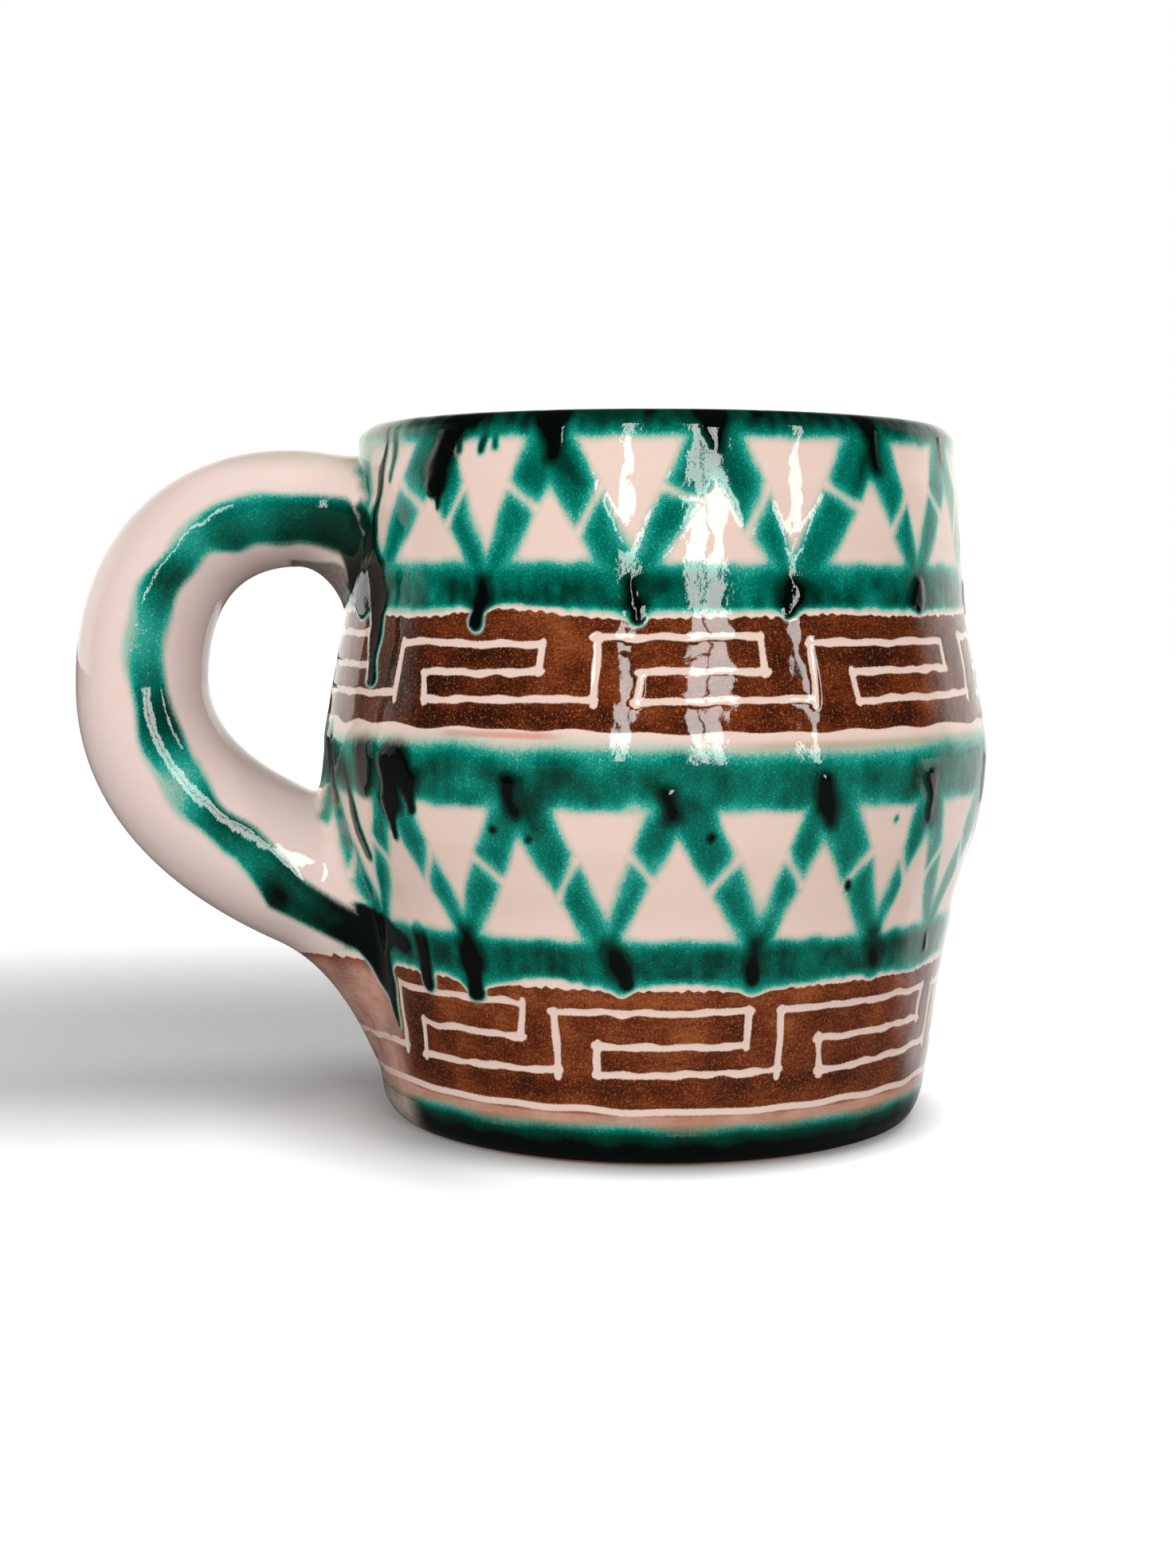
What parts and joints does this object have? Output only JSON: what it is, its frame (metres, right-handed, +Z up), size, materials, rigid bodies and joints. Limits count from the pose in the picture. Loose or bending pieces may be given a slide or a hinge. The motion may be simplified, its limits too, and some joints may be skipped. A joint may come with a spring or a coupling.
{
  "type": "glazed clay mug",
  "caption": "Hand-thrown glazed clay mug with a bellied wall, a turned foot ring, banded green and brown coats, and a thick pulled loop handle luted on at both ends.",
  "frame": {"origin": "centre of the foot ring's face, on the table that the mug stands on", "axes": "+Z up the mug's own axis to the lip; the handle points along -X; +Y completes the right-handed frame"},
  "size_m": [0.1188, 0.087, 0.09],
  "materials": {
    "red_clay": "matte",
    "pale_slip": "gloss",
    "green_glaze": "gloss",
    "brown_slip": "gloss",
    "zigzag_glaze": "gloss",
    "liner": "gloss"
  },
  "bodies": {
    "root": {"vessel": "red_clay", "handle": "red_clay", "upper_joint_coil": "red_clay", "lower_joint_coil": "red_clay", "ground_slip": "pale_slip", "foot_band": "green_glaze", "lower_key_band": "brown_slip", "lower_belt": "green_glaze", "lower_zigzag_band": "zigzag_glaze", "middle_belt": "green_glaze", "upper_key_band": "brown_slip", "upper_belt": "green_glaze", "upper_zigzag_band": "zigzag_glaze", "rim_band": "green_glaze", "handle_slip": "pale_slip", "liner_glaze": "liner"}
  },
  "joints": []
}
